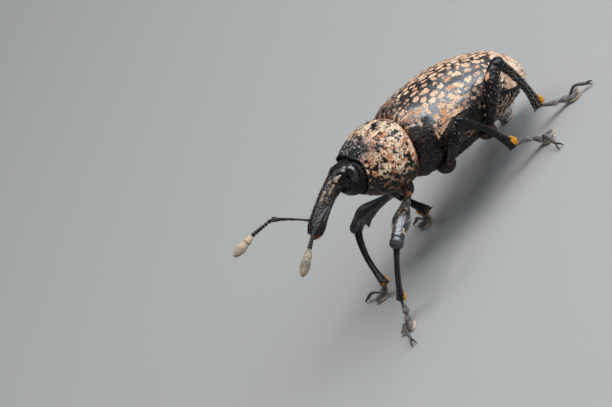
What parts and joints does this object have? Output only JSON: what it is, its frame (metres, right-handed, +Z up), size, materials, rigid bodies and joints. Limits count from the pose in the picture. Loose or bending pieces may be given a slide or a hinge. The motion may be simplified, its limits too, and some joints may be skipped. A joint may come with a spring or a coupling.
{
  "type": "fig tree weevil",
  "caption": "Life-size fig tree weevil standing on its feet, with a curved rostrum, elbowed clubbed antennae and pitted black and tan wing covers.",
  "frame": {"origin": "on the floor below the middle of the bounding box, between the feet", "axes": "+Z up from the floor, -Y the way the head faces, +X to the animal's left side"},
  "size_m": [0.013, 0.0222, 0.0109],
  "materials": {
    "black_cuticle": "glossy to satin black chitin, wrinkled and punctured, with sparse pale hairs",
    "mottled_cuticle": "glossy black chitin with pits and patches filled with peach-tan scales",
    "eye": "glossy black, finely faceted",
    "club": "matte pale grey pile of very short hairs",
    "tarsus": "grey-brown with pale pads and golden hairs"
  },
  "bodies": {
    "root": {"abdomen": "black_cuticle", "antenna_left_club": "club", "antenna_left_funicle": "black_cuticle", "antenna_left_scape": "black_cuticle", "antenna_right_club": "club", "antenna_right_funicle": "black_cuticle", "antenna_right_scape": "black_cuticle", "coxa_fore_left": "black_cuticle", "coxa_fore_right": "black_cuticle", "coxa_hind_left": "black_cuticle", "coxa_hind_right": "black_cuticle", "coxa_mid_left": "black_cuticle", "coxa_mid_right": "black_cuticle", "elytron_left": "mottled_cuticle", "elytron_right": "mottled_cuticle", "eye_left": "eye", "eye_right": "eye", "femur_fore_left": "black_cuticle", "femur_fore_right": "black_cuticle", "femur_hind_left": "black_cuticle", "femur_hind_right": "black_cuticle", "femur_mid_left": "black_cuticle", "femur_mid_right": "black_cuticle", "head": "black_cuticle", "prothorax": "mottled_cuticle", "rostrum": "black_cuticle", "scutellum": "black_cuticle", "tarsus_fore_left": "tarsus", "tarsus_fore_right": "tarsus", "tarsus_hind_left": "tarsus", "tarsus_hind_right": "tarsus", "tarsus_mid_left": "tarsus", "tarsus_mid_right": "tarsus", "thorax": "black_cuticle", "tibia_fore_left": "black_cuticle", "tibia_fore_right": "black_cuticle", "tibia_hind_left": "black_cuticle", "tibia_hind_right": "black_cuticle", "tibia_mid_left": "black_cuticle", "tibia_mid_right": "black_cuticle"}
  },
  "joints": []
}
